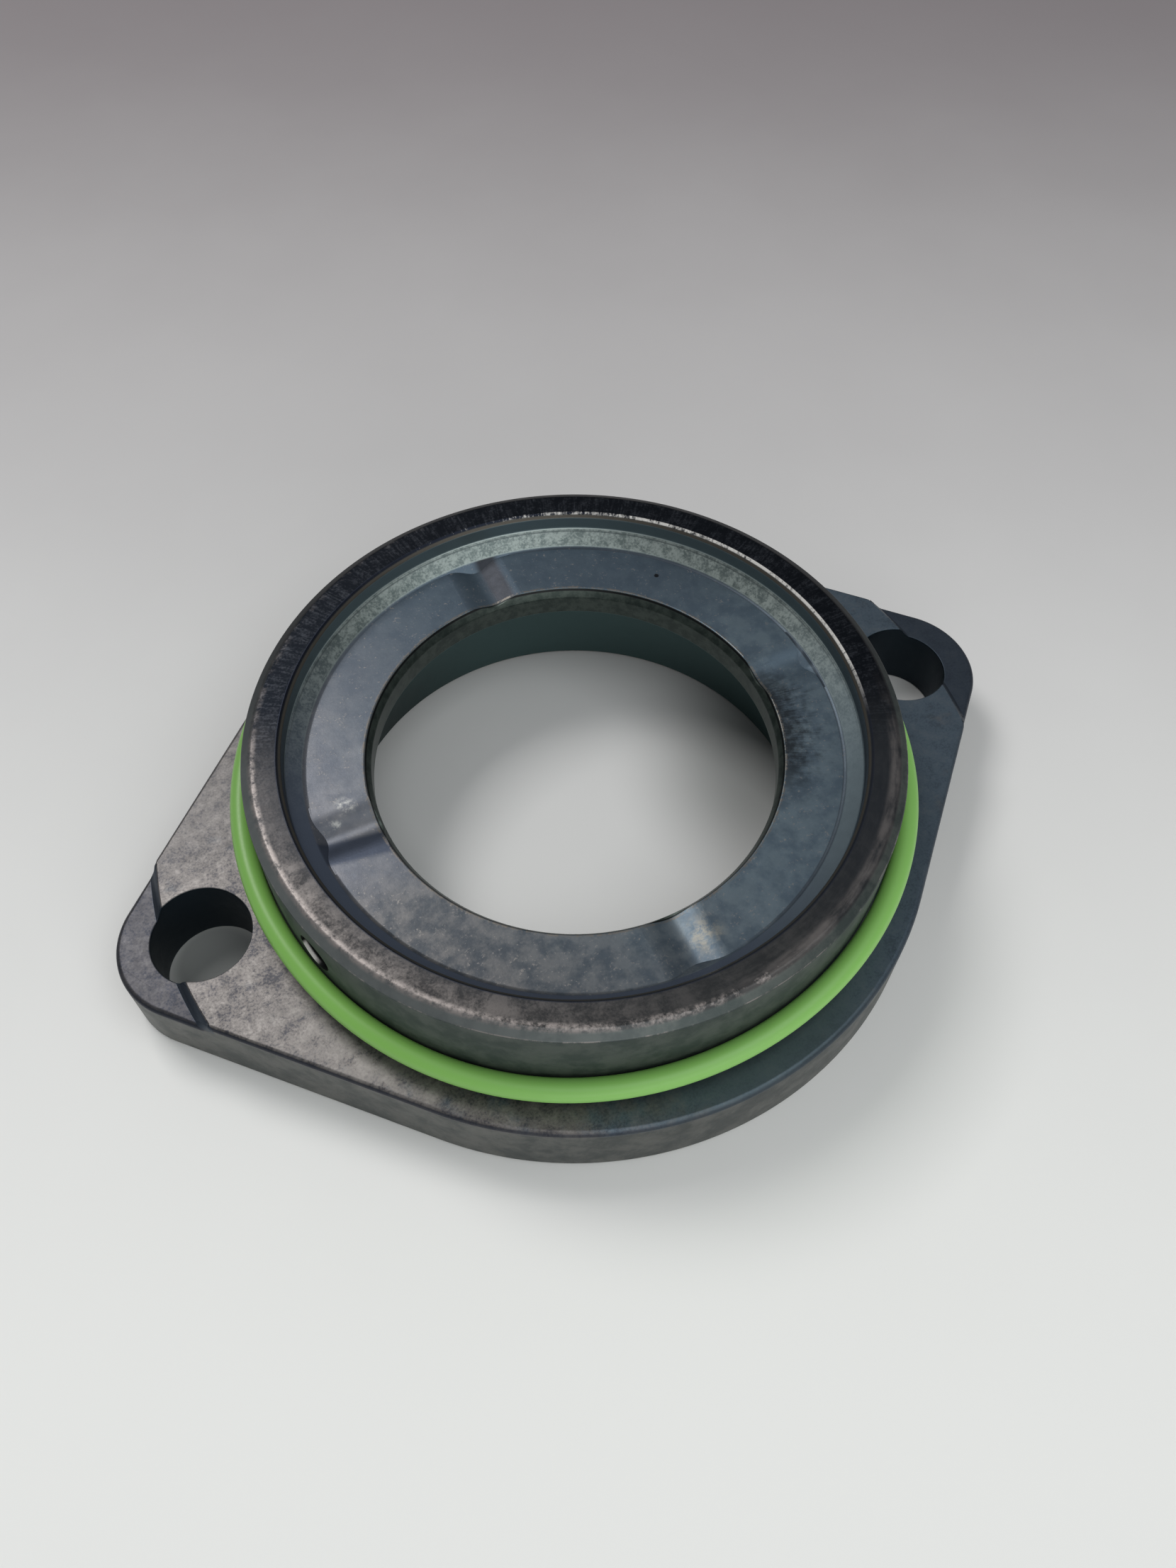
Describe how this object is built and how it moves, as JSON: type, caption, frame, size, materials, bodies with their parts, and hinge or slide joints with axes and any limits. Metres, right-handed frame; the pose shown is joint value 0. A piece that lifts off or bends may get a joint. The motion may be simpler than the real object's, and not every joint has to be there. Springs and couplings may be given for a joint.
{
  "type": "o-ring sealed flange",
  "caption": "Eared flange with a short spigot, a stepped bore and an oil-grooved thrust ledge, sealed by a green elastic o-ring around the spigot.",
  "frame": {"origin": "on the axis of the bore, at the underside of the flange", "axes": "+Z along the bore axis from the flange towards the spigot's rim, +X along the line of the bolt holes"},
  "size_m": [0.087, 0.066, 0.0176],
  "materials": {
    "flange": "dark mottled oxide, blue-grey with brownish blotches, worn bright on the rim edges",
    "o_ring": "satin green elastomer"
  },
  "bodies": {
    "root": {"flange": "flange", "o_ring": "o_ring"}
  },
  "joints": []
}
